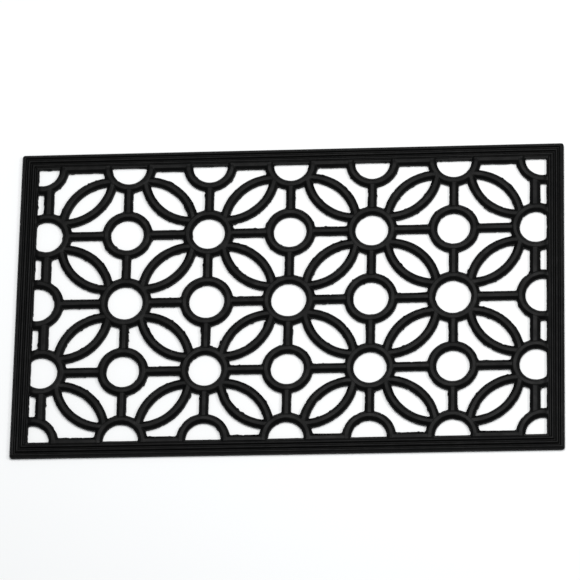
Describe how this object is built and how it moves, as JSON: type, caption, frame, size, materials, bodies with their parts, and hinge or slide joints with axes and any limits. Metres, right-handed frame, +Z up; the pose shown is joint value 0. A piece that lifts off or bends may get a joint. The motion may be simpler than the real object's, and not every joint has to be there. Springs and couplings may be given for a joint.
{
  "type": "door mat",
  "caption": "Openwork moulded rubber scraper door mat: a ribbed rectangular border round a lattice of rings, bars and pointed petals that lets dirt and water fall through.",
  "frame": {"origin": "middle of the underside, on the floor plane", "axes": "+X along the length to the right, +Y to the back edge, +Z up out of the tread face"},
  "size_m": [0.76, 0.452, 0.008],
  "materials": {
    "rubber": "satin black moulded rubber with a fine mould grain and traces of pale dust"
  },
  "bodies": {
    "root": {"corner_rings": "rubber", "cross_bars_r1": "rubber", "cross_bars_r2": "rubber", "cross_bars_r3": "rubber", "cross_bars_r4": "rubber", "edge_bars_left": "rubber", "edge_bars_right": "rubber", "half_rings_back": "rubber", "half_rings_front": "rubber", "long_bars_r1": "rubber", "long_bars_r2": "rubber", "long_bars_r3": "rubber", "part_rings_left": "rubber", "part_rings_right": "rubber", "petal_r1_c1": "rubber", "petal_r1_c2": "rubber", "petal_r1_c3": "rubber", "petal_r1_c4": "rubber", "petal_r1_c5": "rubber", "petal_r1_c6": "rubber", "petal_r2_c1": "rubber", "petal_r2_c2": "rubber", "petal_r2_c3": "rubber", "petal_r2_c4": "rubber", "petal_r2_c5": "rubber", "petal_r2_c6": "rubber", "petal_r3_c1": "rubber", "petal_r3_c2": "rubber", "petal_r3_c3": "rubber", "petal_r3_c4": "rubber", "petal_r3_c5": "rubber", "petal_r3_c6": "rubber", "petal_r4_c1": "rubber", "petal_r4_c2": "rubber", "petal_r4_c3": "rubber", "petal_r4_c4": "rubber", "petal_r4_c5": "rubber", "petal_r4_c6": "rubber", "rail_back": "rubber", "rail_front": "rubber", "rail_left": "rubber", "rail_right": "rubber", "ring_r1_c1": "rubber", "ring_r1_c2": "rubber", "ring_r1_c3": "rubber", "ring_r1_c4": "rubber", "ring_r1_c5": "rubber", "ring_r2_c1": "rubber", "ring_r2_c2": "rubber", "ring_r2_c3": "rubber", "ring_r2_c4": "rubber", "ring_r2_c5": "rubber", "ring_r3_c1": "rubber", "ring_r3_c2": "rubber", "ring_r3_c3": "rubber", "ring_r3_c4": "rubber", "ring_r3_c5": "rubber"}
  },
  "joints": []
}
